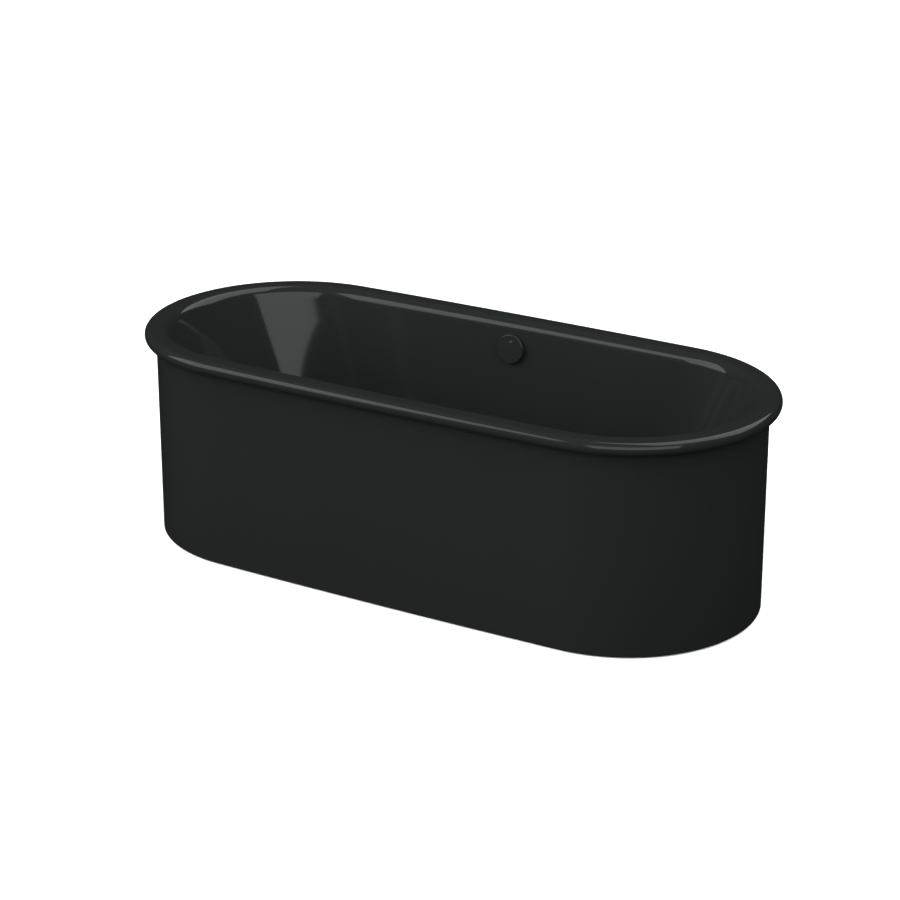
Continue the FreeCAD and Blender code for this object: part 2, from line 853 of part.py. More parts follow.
# ---------------------------------------------------------------- waste, plug and lever
neck_radius = waste_hole_radius - hole_clearance
flange_low = dish_floor + flange_seal
flange_top = flange_low + flange_thickness
body_top = under_dish - waste_gasket_height
neck_low = flange_low - neck_length
pivot_x = -lever_arm * (1 + math.cos(math.radians(lever_swing))) / 2
pusher_height = pivot_height - lever_arm * (1 + math.cos(math.radians(lever_swing))) / 2


def waste_flange_seal():
    outer = flange_radius - flange_seal_inset
    return tube(outer, waste_hole_radius + hole_clearance, dish_floor, flange_low)


def waste_flange():
    """The ring in the bath's floor, its neck through the hole and the spider that guides the stem."""
    inner = neck_radius - neck_wall
    face = turned(
        [
            (inner, flange_low),
            (flange_radius - flange_edge, flange_low),
            (flange_radius, flange_low + flange_edge),
            (flange_radius - flange_slope, flange_top),
            (inner + flange_lip, flange_top),
            (inner, flange_top - flange_lip),
        ]
    )
    neck = tube(neck_radius, inner, neck_low, flange_low)
    spider_top = flange_low - spider_drop + spider_height
    spider_low = flange_low - spider_drop
    boss = upright(stem_radius + spider_boss_wall, spider_low, spider_top)
    half_bar = spider_bar / 2
    bars = []
    for k in range(spider_bars):
        bar = box((-inner - bite, inner + bite), (-half_bar, half_bar), (spider_low, spider_top))
        bar.rotate(Vector(), up, (k + 0.5) * 180 / spider_bars)
        bars.append(bar)
    body = face.fuse([neck, boss, *bars])
    return body.cut(upright(stem_radius + stem_clearance, spider_low - past, spider_top + past))


def waste_gasket():
    return tube(body_flange_radius, waste_hole_radius + hole_clearance, body_top, under_dish)


def waste_body():
    """The cup under the bath: hose inlet towards +Y, cable guide towards -X, outlet neck below."""
    inside = body_radius - body_wall
    ceiling = body_top - body_flange_height
    floor_top = body_floor_height + body_floor
    cup = tube(body_radius, inside, body_floor_height, ceiling)
    flange = tube(body_flange_radius, neck_radius + neck_gap, ceiling, body_top)
    collar = tube(inside + bite, neck_radius + neck_gap, neck_low, body_top)
    floor = upright(body_radius, body_floor_height, floor_top)
    outlet_neck = upright(outlet_neck_radius, outlet_neck_tip, body_floor_height)
    cavity = upright(inside, floor_top, neck_low)
    inlet_end = Vector(0, inlet_length, inlet_height)
    inlet = rod(outlet_radius, Vector(0, inside + bite, inlet_height), inlet_end).cut(cavity)
    guide_tip = Vector(-guide_end, 0, pusher_height)
    guide = rod(guide_radius, Vector(-inside - bite, 0, pusher_height), guide_tip).cut(cavity)
    body = cup.fuse([flange, collar, floor, outlet_neck, inlet, guide])
    drain = upright(outlet_neck_radius - outlet_neck_wall, outlet_neck_tip - past, floor_top + past)
    feed = rod(outlet_radius - outlet_wall, Vector(0, 0, inlet_height), inlet_end + Vector(0, past, 0))
    slide_start = guide_tip - Vector(past, 0, 0)
    slide = rod(pusher_radius + running_clearance, slide_start, Vector(-inside + past, 0, pusher_height))
    seat = rod(sheath_radius, slide_start, guide_tip + Vector(sheath_in_guide, 0, 0))
    pin_end = Vector(0, body_radius, 0)
    pivot = Vector(pivot_x, 0, pivot_height)
    pin = rod(lever_pin_radius, pivot - pin_end, pivot + pin_end)
    return body.cut([drain, feed, slide, seat, pin])


def lever_pin():
    reach = math.sqrt(body_radius**2 - pivot_x**2) - lever_pin_setback
    return rod(lever_pin_radius, Vector(pivot_x, -reach, pivot_height), Vector(pivot_x, reach, pivot_height))


def lift_lever():
    """A bell crank drawn with its arms square, then turned to the closed position."""
    half = lever_thickness / 2

    def slab(radius, x, z):
        return rod(radius, Vector(x, -half, z), Vector(x, half, z))

    def arm(x_range, z_range):
        return box(x_range, (-half, half), z_range)

    across = arm((0, lever_arm), (-lever_tip_radius, lever_tip_radius))
    down = arm((-lever_tip_radius, lever_tip_radius), (-lever_arm, 0))
    tips = [slab(lever_tip_radius, lever_arm, 0), slab(lever_tip_radius, 0, -lever_arm)]
    body = slab(lever_hub_radius, 0, 0).fuse([across, down, *tips]).removeSplitter()
    bore_end = Vector(0, half + past, 0)
    body = body.cut(rod(lever_pin_radius + running_clearance, -bore_end, bore_end))
    body.rotate(Vector(), Vector(0, 1, 0), lever_swing)
    body.translate(Vector(pivot_x, 0, pivot_height))
    return body


def cable_pusher():
    """The rod that the cable drives. Its round end pushes the lever's lower arm."""
    end_when_up = (
        pivot_x
        + (pivot_height - pusher_height) * math.tan(swing_in_radians)
        - (pusher_radius + lever_tip_radius + contact_gap) / math.cos(swing_in_radians)
    )
    end_x = end_when_up - tooth_travel
    end = Vector(end_x, 0, pusher_height)
    start = Vector(-guide_end + sheath_in_guide + pusher_end_gap, 0, pusher_height)
    guided = rod(pusher_radius, start, end)
    wire_end = Vector(-guide_end - wire_in_low_sheath, 0, pusher_height)
    wire = rod(cable_rod_radius, wire_end, start + Vector(bite, 0, 0))
    return guided.fuse([Part.makeSphere(pusher_radius, end), wire]).removeSplitter()


stem_ball_height = (
    pivot_height
    + pivot_x * math.tan(swing_in_radians)
    + (stem_radius + lever_tip_radius + contact_gap) / math.cos(swing_in_radians)
)
plug_low = flange_top + plug_gap


def plug_cover():
    """A crowned cap with a rounded edge."""
    edge_top = plug_low + plug_edge
    crown_radius = (plug_radius**2 + plug_crown**2) / (2 * plug_crown)
    top = edge_top + plug_crown
    outer = upright(plug_radius, plug_low, top + past)
    outer = outer.common(Part.makeSphere(crown_radius, Vector(0, 0, top - crown_radius)))
    outer = outer.makeFillet(plug_round, flat_edges(outer, edge_top))
    recess = tube(plug_radius - plug_rim, stem_radius + plug_hub, plug_low - past, plug_low + plug_recess)
    return outer.cut(recess)


def plug_stem():
    """A rod with a round end that rests on the lever."""
    stem = upright(stem_radius, stem_ball_height, plug_low)
    return stem.fuse(Part.makeSphere(stem_radius, Vector(0, 0, stem_ball_height))).removeSplitter()


def plug_seal():
    inner = neck_radius - neck_wall
    outer = inner - plug_seal_clearance
    low = plug_low - plug_seal_height
    points = [(stem_radius, low), (outer - plug_seal_foot, low), (outer, low + plug_seal_foot_rise)]
    points += [(outer, plug_low - plug_seal_shoulder_drop), (outer - plug_seal_shoulder, plug_low)]
    return turned([*points, (stem_radius, plug_low)])


# ---------------------------------------------------------------- trap
collar_inner = outlet_neck_radius + collar_clearance
collar_outer = collar_inner + collar_wall
collar_top = trap_top + collar_height
trap_middle = (trap_bottom + trap_top) / 2


def trap_body():
    """A low bowl round the outlet neck, with a spigot towards +X."""
    inner_radius = trap_radius - trap_wall
    bowl = upright(trap_radius, trap_bottom, trap_top)
    bowl = bowl.makeFillet(trap_round, flat_edges(bowl))
    spigot_start = Vector(trap_radius - spigot_root, 0, trap_middle)
    spigot_tip = Vector(spigot_end, 0, trap_middle)
    spigot = rod(spigot_radius, spigot_start, spigot_tip)
    stop_face = Vector(spigot_stop, 0, trap_middle)
    stop = rod(spigot_radius + spigot_stop_rise, stop_face - Vector(spigot_stop_width, 0, 0), stop_face)
    collar = upright(collar_outer, trap_top - past, collar_top)
    inside = upright(inner_radius, trap_bottom + trap_wall, trap_top - trap_wall)
    bore = rod(spigot_radius - spigot_wall, spigot_start, spigot_tip + Vector(past, 0, 0))
    neck = upright(collar_inner, trap_top - trap_wall - past, collar_top + past)
    return bowl.fuse([spigot, stop, collar]).cut([inside, bore, neck])


def trap_seal():
    return tube(collar_outer, outlet_neck_radius, collar_top, collar_top + trap_seal_height)


def trap_nut():
    """A ribbed union nut round the collar."""
    low, high = trap_top + union_nut_lift, body_floor_height - union_nut_top_gap
    seal_top = collar_top + trap_seal_height
    inner = collar_outer + union_nut_clearance
    outer = inner + union_nut_wall
    body = tube(outer, inner, low, seal_top)
    lip = tube(outer, outlet_neck_radius + union_nut_lip_clearance, seal_top, high)
    ribs = []
    for k in range(union_nut_ribs):
        rib = at_place(upright(union_nut_rib_radius, low, high), outer, 0)
        rib.rotate(Vector(), up, 360 * k / union_nut_ribs)
        ribs.append(rib)
    return body.fuse([lip, *ribs])


# ---------------------------------------------------------------- hose and cable sheath
hose_radius = outlet_radius + hose_fit + hose_wall
hose_top = outlet_low + hose_overlap
hose_end = inlet_length - hose_overlap
clip_middle = clip_length / 2 + clip_setback


def hose_path():
    corner = Vector(0, outlet_y, inlet_height)
    points = [Vector(0, outlet_y, hose_top), corner, Vector(0, hose_end, inlet_height)]
    return route(points, [hose_bend])


def overflow_hose():
    path = hose_path()
    return swept(path, hose_radius).cut(swept(path, hose_radius - hose_wall))


def hose_clip(middle, along):
    """A band clip about a point of the hose."""
    clip = tube(hose_radius + clip_wall, hose_radius + clip_fit, -clip_length / 2, clip_length / 2)
    clip.Placement = FreeCAD.Placement(middle, FreeCAD.Rotation(up, along))
    return clip


def cable_sheath():
    """The outer tube of the cable: down from the housing, round under the bath and into the guide."""
    end = Vector(-guide_end + sheath_in_guide, 0, pusher_height)
    drop = cable_start.z - pusher_height - sheath_seat_drop
    corners = [Vector(x, y, pusher_height) for x, y in sheath_corners]
    path = route([cable_start, cable_start + cable_down * drop, *corners, end], sheath_bends)
    print(f"cable sheath {path.Length:.0f} mm long, bend radii {sheath_bends} mm")
    return swept(path, sheath_radius).cut(swept(path, sheath_bore))


# ---------------------------------------------------------------- everything, by node name
def all_parts():
    parts = {
        "bath_shell": bath_shell(),
        "skirt": skirt(),
        "rim_gasket": rim_gasket(),
        "damping_mat_floor_left": floor_mat(-1),
        "damping_mat_floor_right": floor_mat(1),
        "damping_mat_end_left": end_mat(-1),
        "damping_mat_end_right": end_mat(1),
        "earth_lug": earth_lug(),
        "overflow_gasket": overflow_gasket(),
        "overflow_clamp_ring": clamp_ring(),
        "overflow_housing": overflow_housing(),
        "overflow_knob": knob(),
        "knob_spindle": spindle(),
        "drive_pinion": pinion(),
        "cable_rack": cable_rack(),
        "cable_sheath": cable_sheath(),
        "cable_pusher": cable_pusher(),
        "overflow_hose": overflow_hose(),
        "hose_clip_top": hose_clip(Vector(0, outlet_y, hose_top - clip_middle), up),
        "hose_clip_bottom": hose_clip(Vector(0, hose_end + clip_middle, inlet_height), Vector(0, 1, 0)),
        "waste_flange": waste_flange(),
        "waste_flange_seal": waste_flange_seal(),
        "waste_gasket": waste_gasket(),
        "waste_body": waste_body(),
        "lever_pin": lever_pin(),
        "lift_lever": lift_lever(),
        "plug_cover": plug_cover(),
        "plug_stem": plug_stem(),
        "plug_seal": plug_seal(),
        "trap_body": trap_body(),
        "trap_seal": trap_seal(),
        "trap_nut": trap_nut(),
    }
    bolts, studs, weld_nuts, lock_nuts = [], [], [], []
    for side, end in ((-1, "left"), (1, "right")):
        x = side * rail_x
        parts[f"cross_rail_{end}"] = at_place(cross_rail(), x, 0)
        for across, edge in ((-1, "front"), (1, "back")):
            corner = f"{end}_{edge}"
            parts[f"rail_pad_{corner}"] = at_place(rail_pad(), x, across * pad_y)
            parts[f"foot_stud_{corner}"] = at_place(foot_stud(), x, across * foot_y)
            parts[f"foot_pad_{corner}"] = at_place(foot_pad(), x, across * foot_y)
            parts[f"skirt_bracket_{corner}"] = at_place(skirt_bracket(across), x, 0)
            weld_nuts.append(at_place(stud_nut(rail_top - rail_wall - nut_height), x, across * foot_y))
            lock_nuts.append(at_place(stud_nut(rail_top), x, across * foot_y))
            bolts.append(at_place(bracket_bolt(), x, across * bracket_bolt_y))
            studs.append(at_place(flange_fastener(), x, across * flange_stud_y))
    parts["weld_nuts"] = Part.makeCompound(weld_nuts)
    parts["lock_nuts"] = Part.makeCompound(lock_nuts)
    parts["bracket_bolts"] = Part.makeCompound(bolts)
    parts["flange_fasteners"] = Part.makeCompound(studs)
    return parts


os.makedirs("parts", exist_ok=True)
for name, shape in all_parts().items():
    solids = shape.Solids
    print(f"{name}: {len(solids)} solid(s), valid {shape.isValid()}, {shape.Volume / 1000:.1f} cm3")
    shape.exportStep(f"parts/{name}.step")
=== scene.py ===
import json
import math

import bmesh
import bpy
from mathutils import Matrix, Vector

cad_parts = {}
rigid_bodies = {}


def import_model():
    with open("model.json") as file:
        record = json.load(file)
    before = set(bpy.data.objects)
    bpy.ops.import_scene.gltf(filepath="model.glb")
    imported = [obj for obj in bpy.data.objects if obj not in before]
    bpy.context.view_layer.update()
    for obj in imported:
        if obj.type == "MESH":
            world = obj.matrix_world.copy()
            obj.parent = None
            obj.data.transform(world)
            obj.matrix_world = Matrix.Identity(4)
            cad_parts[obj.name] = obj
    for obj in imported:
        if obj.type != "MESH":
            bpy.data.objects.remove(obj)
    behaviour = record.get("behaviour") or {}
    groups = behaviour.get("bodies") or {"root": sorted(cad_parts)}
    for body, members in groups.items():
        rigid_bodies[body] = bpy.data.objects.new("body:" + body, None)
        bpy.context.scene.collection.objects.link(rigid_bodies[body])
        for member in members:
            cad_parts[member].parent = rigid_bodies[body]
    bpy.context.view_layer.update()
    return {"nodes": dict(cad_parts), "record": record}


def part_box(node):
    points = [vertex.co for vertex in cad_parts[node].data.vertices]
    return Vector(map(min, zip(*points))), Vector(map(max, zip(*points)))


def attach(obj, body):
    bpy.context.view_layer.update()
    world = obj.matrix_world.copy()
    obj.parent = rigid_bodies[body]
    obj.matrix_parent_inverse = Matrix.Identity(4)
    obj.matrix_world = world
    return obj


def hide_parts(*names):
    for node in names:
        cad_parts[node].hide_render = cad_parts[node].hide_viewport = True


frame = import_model()

# %% [markdown]
# # A black enamelled bath
# A freestanding bath is a deep oval basin pressed from steel sheet, with its edge rolled into a bead. A
# second sheet, the skirt, hides the feet and the pipes. The CAD model already holds every piece at its true
# size and place. This lesson remakes the four pieces that show, because a smooth gloss surface gives away
# every flat facet, and it gives every piece a material. Then it sets up a plain studio picture.
#
# Everything is in metres and in the frame of the CAD model: X along the bath, Y across it and Z up.
#
# ## Sizes that the pieces share
# The bath's box, read from the frame, gives its length, width and height, so the new pieces keep to the
# outline of the CAD ones. Its long sides are not straight but bow out by a few millimetres, and the bow is a
# size of its own. Most sizes inside the outline, such as the rim and the lean, repeat the CAD model's as
# numbers given here, so they have to be changed here too if they change there.

nodes = frame["nodes"]
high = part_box("bath_shell")[1]
half_length = high.x
half_width = high.y
top = high.z
side_bow = 0.0055
print("bath", round(2 * half_length, 3), "x", round(2 * half_width, 3), "x", round(top, 3), "m")

# %% [markdown]
# ## Drawing chains of points
# Pressed and turned pieces are thin sections carried round a path. They could be curves with a bevel, or
# lathe modifiers. Here each starts as one point, and extruding it from place to place draws the section as
# a chain of edges. That keeps every step an ordinary edit that can be repeated by hand.

# %% Points and chains
seed_radius = 0.001
smooth_angle = 35


def start_mesh(name):
    """A new, empty mesh in edit mode."""
    bpy.ops.object.select_all(action="DESELECT")
    bpy.ops.mesh.primitive_circle_add(vertices=3, radius=seed_radius)
    obj = bpy.context.active_object
    obj.name = name
    obj.data.name = name
    bpy.ops.object.mode_set(mode="EDIT")
    bpy.ops.mesh.select_mode(type="VERT")
    bpy.ops.mesh.select_all(action="SELECT")
    bpy.ops.mesh.delete(type="VERT")
    return obj


def draw_chain(places):
    """Adds a point and extrudes it through the places. The chain is left selected."""
    bpy.ops.mesh.select_all(action="DESELECT")
    bpy.ops.mesh.primitive_circle_add(vertices=3, radius=seed_radius, location=places[0])
    bpy.ops.mesh.merge(type="CENTER")
    here = Vector(places[0])
    for place in places[1:]:
        step = Vector(place) - here
        bpy.ops.mesh.extrude_region_move(TRANSFORM_OT_translate={"value": step})
        here = Vector(place)
    bpy.ops.mesh.select_linked()


def arc(centre, radius, first, last, steps):
    """Points on an arc in a cross-section, as (inset or radius, height) pairs. Angles are in degrees."""
    points = []
    for k in range(steps + 1):
        angle = math.radians(first + (last - first) * k / steps)
        points.append((centre[0] + radius * math.cos(angle), centre[1] + radius * math.sin(angle)))
    return points


# %% [markdown]
# ## Selecting and finishing in code
# By hand one would box-select an edge loop. In a script the same is done by asking each vertex where it is.
# Every piece is finished in the same way: its normals are turned outwards, because the shading and the
# thickness depend on them, and it is shaded smooth up to an angle, so that sharp corners stay sharp.

# %% Selecting and finishing


def select_where(test):
    """Selects the vertices of the mesh being edited that pass the test."""
    bpy.ops.mesh.select_all(action="DESELECT")
    mesh = bmesh.from_edit_mesh(bpy.context.edit_object.data)
    for vert in mesh.verts:
        vert.select = test(vert)
    mesh.select_flush_mode()
    bmesh.update_edit_mesh(bpy.context.edit_object.data)


def leave_edit(obj, angle=smooth_angle):
    """Leaves edit mode with normals pointing outwards and smooth shading."""
    bpy.ops.mesh.select_all(action="SELECT")
    bpy.ops.mesh.normals_make_consistent(inside=False)
    bpy.ops.object.mode_set(mode="OBJECT")
    bpy.ops.object.shade_smooth_by_angle(angle=math.radians(angle))
    print(obj.name, len(obj.data.polygons), "faces", [round(v, 4) for v in obj.dimensions])
    return obj


def apply_modifiers(obj):
    """Applies the object's modifiers in order."""
    bpy.ops.object.select_all(action="DESELECT")
    obj.select_set(True)
    bpy.context.view_layer.objects.active = obj
    for modifier in list(obj.modifiers):
        bpy.ops.object.modifier_apply(modifier=modifier.name)


# %% [markdown]
# ## Carrying a section round the oval
# The outline of the bath is four arcs: a tight one at each end and a very wide one along each side, which
# meet without a corner. A scaled circle would be an ellipse, whose ends are too pointed. So the section is
# spun about the centre of each arc in turn. After the last spin its end lies on its start, and the two are
# welded. The weld reaches a little further than the rounding that so many small steps add up to.

# %% Spinning round the oval
end_steps = 96
side_steps = 36
weld = 5e-5
fine_weld = 1e-6


def oval(long_half, wide_half):
    """End centre and radius, side centre, and the angle on the end where the two arcs meet."""
    end = wide_half - side_bow
    end_x = long_half - end
    side = (end_x**2 + wide_half**2 - end**2) / (2 * side_bow)
    side_y = wide_half - side
    return end_x, end, side_y, math.atan2(-side_y, end_x)


def spin_round_oval(long_half, wide_half):
    """Spins what is selected, which lies where the right end's arc starts, round all four arcs."""
    end_x, _, side_y, meet = oval(long_half, wide_half)
    side_turn = math.pi - 2 * meet
    turns = [(end_x, 0, 2 * meet, end_steps), (0, side_y, side_turn, side_steps)]
    turns += [(-end_x, 0, 2 * meet, end_steps), (0, -side_y, side_turn, side_steps)]
    for x, y, angle, steps in turns:
        bpy.ops.mesh.spin(steps=steps, angle=-angle, center=(x, y, 0), axis=(0, 0, 1))
    bpy.ops.mesh.select_linked()
    bpy.ops.mesh.remove_doubles(threshold=weld)


def start_of_end(long_half, wide_half, inset, height):
    """Where the right end's arc starts, moved in from the outline by inset."""
    end_x, end, _, meet = oval(long_half, wide_half)
    reach = end - inset
    return (end_x + reach * math.cos(meet), -reach * math.sin(meet), height)


def band(profile):
    """A cross-section of (inset, height) pairs carried round the rim's outline."""
    draw_chain([start_of_end(half_length, half_width, inset, height) for inset, height in profile])
    spin_round_oval(half_length, half_width)


def turned(profile, steps):
    """A cross-section of (radius, height) pairs turned once about the Z axis."""
    draw_chain([(radius, 0, height) for radius, height in profile])
    bpy.ops.mesh.spin(steps=steps, angle=2 * math.pi, center=(0, 0, 0), axis=(0, 0, 1))
    bpy.ops.mesh.select_linked()
    bpy.ops.mesh.remove_doubles(threshold=fine_weld)


# %% [markdown]
# ## The shape of the basin
# The rim has a rolled bead outside, a flat top, and a large rounded edge into the water. From that edge the
# wall runs straight down at a lean, steep at the sides and gentler at the ends where a back rests, and then
# curls into the floor. The lean and the curl are written as a function of height. So the rim and the wall
# can be made apart and still meet exactly, with no kink for the gloss to catch.

# %% Sizes of the bath
sheet = 0.003
bead = 0.017
bead_return = 0.009
inner_edge = 0.029
rim_width = 0.072
edge_end = top - inner_edge
well_floor = 0.115
side_lean = 0.042
end_lean = 0.175
floor_radius = 0.080
end_floor_reach = 0.130


def slope_of(lean):
    """The angle of a wall from upright."""
    return math.atan(lean / (edge_end - well_floor))


def wall_inset(height, lean):
    """How far the wall is in from the outline: round the inner edge, then straight down at its slope."""
    slope = slope_of(lean)
    above = height - edge_end
    meets = inner_edge * math.sin(slope)
    if above > meets:
        across = math.sqrt(max(0.0, inner_edge**2 - above**2))
    else:
        across = inner_edge * math.cos(slope) + (meets - above) * math.tan(slope)
    return rim_width - inner_edge + across


def well_half_sizes(height):
    """Half length and half width of the basin at a height."""
    knee = max(0.0, min(1.0, (well_floor + floor_radius - height) / floor_radius))
    curl = 1 - math.sqrt(1 - knee**2)
    long_half = half_length - wall_inset(height, end_lean) - end_floor_reach * curl
    wide_half = half_width - wall_inset(height, side_lean) - floor_radius * curl
    return long_half, wide_half


print("end wall leans", round(math.degrees(slope_of(end_lean)), 1), "degrees")

# %% [markdown]
# ## The walls
# Because the ends lean more than the sides, no single section gives the whole wall. A sculpted or
# subdivided box would wobble in the reflections. Instead each level is its own oval loop, and bridging the
# loops in order makes the wall. The levels stand closer together where the wall curves.

# %% Levels of the wall
knee_height = well_floor + floor_radius
edge_steps = 4
wall_steps = 12
knee_steps = 10
first_level = edge_end + inner_edge * math.sin(slope_of(end_lean))
levels = [first_level + (edge_end - first_level) * k / edge_steps for k in range(edge_steps)]
levels += [edge_end + (knee_height - edge_end) * k / wall_steps for k in range(wall_steps)]
levels += [knee_height - floor_radius * math.sin(math.pi / 2 * k / knee_steps) for k in range(knee_steps + 1)]
bath = start_mesh("bath_body")
for level in levels:
    long_half, wide_half = well_half_sizes(level)
    draw_chain([start_of_end(long_half, wide_half, 0, level)])
    spin_round_oval(long_half, wide_half)
bpy.ops.mesh.select_all(action="SELECT")
bpy.ops.mesh.bridge_edge_loops()
print(len(levels), "levels bridged")

# %% [markdown]
# ## The rim
# On such a bath the sheet's edge is rolled under, which makes it stiff and safe to hold. The same section
# runs all round, so this part is a band: bead, flat top and inner edge in one chain. Its last point lies on
# the first level of the wall, and welding joins the two.

# %% Rim
bead_steps = 22
edge_arc_steps = 14
flat_end = rim_width - inner_edge
rim = [(bead + bead_return, top - 2 * bead)]
rim += arc((bead, top - bead), bead, 270, 90, bead_steps)
rim += [((bead + flat_end) / 2, top)]
rim += arc((flat_end, edge_end), inner_edge, 90, math.degrees(slope_of(end_lean)), edge_arc_steps)
band(rim)
bpy.ops.mesh.select_all(action="SELECT")
bpy.ops.mesh.remove_doubles(threshold=weld)
print("rim section of", len(rim), "points")

# %% [markdown]
# ## The dish round the waste
# The floor sinks a few millimetres round the waste, so that the last water runs out. The dish is a section
# turned about the middle, with softened corners, since enamel never ends in a sharp edge. The flat floor
# between the dish and the walls has two very different outlines, an oval and a circle. Bridging those would
# twist, so the space is filled instead.

# %% Dish
dish_depth = 0.007
dish_top = 0.056
dish_flat = 0.044
waste_hole = 0.026
soft = 0.004
first_drop = 0.0005
second_drop = 0.0022
last_drop = 0.0012
dish_floor = well_floor - dish_depth
dish = [(dish_top + soft, well_floor), (dish_top + soft / 2, well_floor - first_drop)]
dish += [(dish_top - soft / 2, well_floor - second_drop), (dish_flat + soft / 2, dish_floor + last_drop)]
dish += [(dish_flat - soft / 2, dish_floor), (waste_hole, dish_floor)]


def on_boundary(vert):
    """True for a vertex on an open edge."""
    return any(edge.is_boundary for edge in vert.link_edges)


turned(dish, 2 * (end_steps + side_steps))
select_where(lambda v: on_boundary(v) and abs(v.co.z - well_floor) < weld)
bpy.ops.mesh.fill(use_beauty=True)
print("dish", dish_depth, "m deep")

# %% [markdown]
# ## The thickness of the sheet
# So far the bath is a skin without thickness. A Solidify modifier gives it the 3 mm of the steel. It adds
# the thickness behind the skin, so the side that shows has to be the front: if the floor looks down, all
# normals are flipped first.

# %% Thickness
bpy.ops.mesh.select_all(action="SELECT")
bpy.ops.mesh.normals_make_consistent(inside=False)
bpy.ops.object.mode_set(mode="OBJECT")
floor_face = min(bath.data.polygons, key=lambda p: p.center.xy.length)
if floor_face.normal.z < 0:
    bpy.ops.object.mode_set(mode="EDIT")
    bpy.ops.mesh.select_all(action="SELECT")
    bpy.ops.mesh.flip_normals()
    bpy.ops.object.mode_set(mode="OBJECT")
thicken = bath.modifiers.new("thicken", "SOLIDIFY")
thicken.thickness = sheet
thicken.offset = -1
thicken.use_even_offset = True
apply_modifiers(bath)
bpy.ops.object.shade_smooth_by_angle(angle=math.radians(smooth_angle))
print("bath", len(bath.data.polygons), "faces", [round(v, 4) for v in bath.dimensions])

# %% [markdown]
# ## The overflow's place on the wall
# The overflow lets water out before the bath runs over, and its cover is also the knob that opens the
# waste. It faces into the bath, square to the leaning wall. The lean is measured from two heights close
# together on the wall. The same frame then places the hole and the knob, so they can't drift apart.

# %% Overflow frame
overflow_drop = 0.072
land_proud = 0.0009
probe = 0.001
overflow_height = top - overflow_drop
wall_y = well_half_sizes(overflow_height)[1]
wall_y_above = well_half_sizes(overflow_height + probe)[1]
wall_y_below = well_half_sizes(overflow_height - probe)[1]
lean_angle = math.atan((wall_y_above - wall_y_below) / (2 * probe))
overflow_turn = math.pi / 2 - lean_angle
off_the_wall = Matrix.Rotation(overflow_turn, 3, "X") @ Vector((0, 0, land_proud))
overflow_at = Vector((0, wall_y, overflow_height)) + off_the_wall
overflow_frame = Matrix.Translation(overflow_at) @ Matrix.Rotation(overflow_turn, 4, "X")
print("overflow at", [round(v, 4) for v in overflow_at], "leaning", round(math.degrees(lean_angle), 2))

# %% [markdown]
# ## Cutting the overflow's hole
# The factory punches this hole through the sheet. A boolean with a cylinder, square to the wall, does the
# same. The exact solver is the safe choice here, because the wall is thin and slightly curved.

# %% Overflow hole
round_steps = 96
overflow_hole = 0.026
cutter_depth = 0.02


def cut_with_cylinder(obj, radius, depth, place, turn):
    """Cuts a round hole in obj and removes the cutter."""
    bpy.ops.object.select_all(action="DESELECT")
    bpy.ops.mesh.primitive_cylinder_add(
        vertices=round_steps, radius=radius, depth=depth, location=place, rotation=(turn, 0, 0)
    )
    cutter = bpy.context.active_object
    cut = obj.modifiers.new("cut", "BOOLEAN")
    cut.operation = "DIFFERENCE"
    cut.solver = "EXACT"
    cut.object = cutter
    apply_modifiers(obj)
    bpy.data.objects.remove(cutter)


cut_with_cylinder(bath, overflow_hole, cutter_depth, overflow_at, overflow_turn)
print("hole", round(2 * overflow_hole, 3), "m across")

# %% [markdown]
# ## The skirt
# The skirt is one rolled sheet that stands just under the bead and hides the frame. Its foot is bent
# inwards, to be screwed to brackets from below. A cylinder with a Solidify modifier would do for the wall,
# but the bend has two different radii, inside and outside. So the whole outline of the sheet is drawn as
# one closed section and carried round the oval.

# %% Skirt
skirt_sheet = 0.002
skirt_bend = 0.004
skirt_flange = 0.030
outer_bend_steps = 5
inner_bend_steps = 4
skirt_low, skirt_high = (corner.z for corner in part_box("skirt"))
skirt_inset = half_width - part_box("skirt")[1].y
flange_tip = skirt_inset + skirt_flange
bend_centre = (skirt_inset + skirt_bend, skirt_low + skirt_bend)
skirt = start_mesh("skirt_panel")
outline = [(skirt_inset, skirt_high), (skirt_inset, (skirt_low + skirt_high) / 2)]
outline += arc(bend_centre, skirt_bend, 180, 270, outer_bend_steps)
outline += [(flange_tip, skirt_low), (flange_tip, skirt_low + skirt_sheet)]
outline += arc(bend_centre, skirt_bend - skirt_sheet, 270, 180, inner_bend_steps)
outline += [(skirt_inset + skirt_sheet, skirt_high), (skirt_inset, skirt_high)]
band(outline)
leave_edit(skirt)

# %% [markdown]
# ## The overflow knob
# The knob is a round cap that stands a little off the wall and is hollow behind, with a hub for its
# spindle. A cap like this is cast or turned, so one section turned about its axis is the natural way to
# make it. Its face is not flat but domed by a millimetre or two: a flat gloss disc would flash all at once.

# %% Knob
knob_radius = 0.038
knob_front = 0.013
knob_crown = 0.0016
knob_back = 0.004
knob_wall = 0.003
knob_edge = 0.003
knob_hub = 0.009
spindle_radius = 0.004
knob_smooth_angle = 40
crown_steps = 12
knob_edge_steps = 8
knob_edge_start = 85


def crown(reach, crown_radius, front):
    """A shallow dome from its middle out to reach, as (radius, height) pairs."""
    points = []
    for k in range(crown_steps + 1):
        radius = reach * k / crown_steps
        points.append((radius, front - crown_radius + math.sqrt(crown_radius**2 - radius**2)))
    return points


